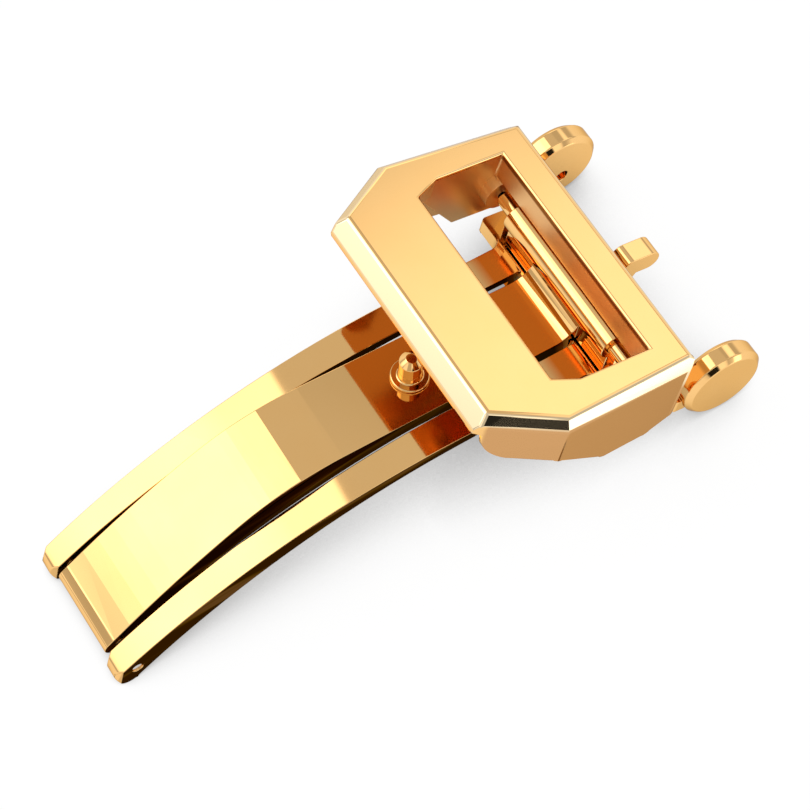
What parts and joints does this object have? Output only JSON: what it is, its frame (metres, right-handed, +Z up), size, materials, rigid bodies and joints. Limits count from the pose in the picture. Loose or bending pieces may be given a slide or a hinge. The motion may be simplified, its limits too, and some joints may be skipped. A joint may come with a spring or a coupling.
{
  "type": "folding deployant clasp",
  "caption": "Single-fold deployant clasp: bevelled buckle frame on a rod, forked outer blade with strap lugs, and an inner blade with strap stud.",
  "frame": {"origin": "centre of the object's box, on the table that the blade tips and lugs rest on", "axes": "+X from the blades' hinged tips towards the lugs, +Y across the strap, +Z up"},
  "size_m": [0.0492, 0.0242, 0.0149],
  "materials": {
    "gold_frame": "gold-plated, mirror polished",
    "gold_blades": "gold-plated, mirror polished",
    "gold_stud": "gold-plated, mirror polished",
    "gold_rod": "gold-plated, mirror polished",
    "steel_pin": "ground stainless steel",
    "spring_steel": "drawn spring wire"
  },
  "bodies": {
    "outer": {"outer_blade": "gold_blades", "blade_hinge_pin": "steel_pin"},
    "inner": {"inner_blade": "gold_blades", "strap_stud": "gold_stud"},
    "frame": {"buckle_frame": "gold_frame", "rod_sleeve": "gold_rod", "rod_spring": "spring_steel"},
    "tip_front": {"rod_tip_front": "steel_pin"},
    "tip_back": {"rod_tip_back": "steel_pin"}
  },
  "joints": [
    {"name": "blade_fold", "type": "hinge", "parent": "outer", "child": "inner", "pos_m": [-0.02287, 0, 0.00134], "axis": [0, -1, 0], "range_deg": [0, 160]},
    {"name": "frame_tilt", "type": "hinge", "parent": "inner", "child": "frame", "pos_m": [0.01597, 0, 0.00706], "axis": [0, 1, 0], "range_deg": [-10, 25]},
    {"name": "tip_front_slide", "type": "slide", "parent": "frame", "child": "tip_front", "axis": [0, 1, 0], "range_m": [0, 0.00135], "stiffness_N_per_m": 100, "deforming": ["rod_spring"]},
    {"name": "tip_back_slide", "type": "slide", "parent": "frame", "child": "tip_back", "axis": [0, -1, 0], "range_m": [0, 0.00135], "stiffness_N_per_m": 100, "deforming": ["rod_spring"]}
  ]
}
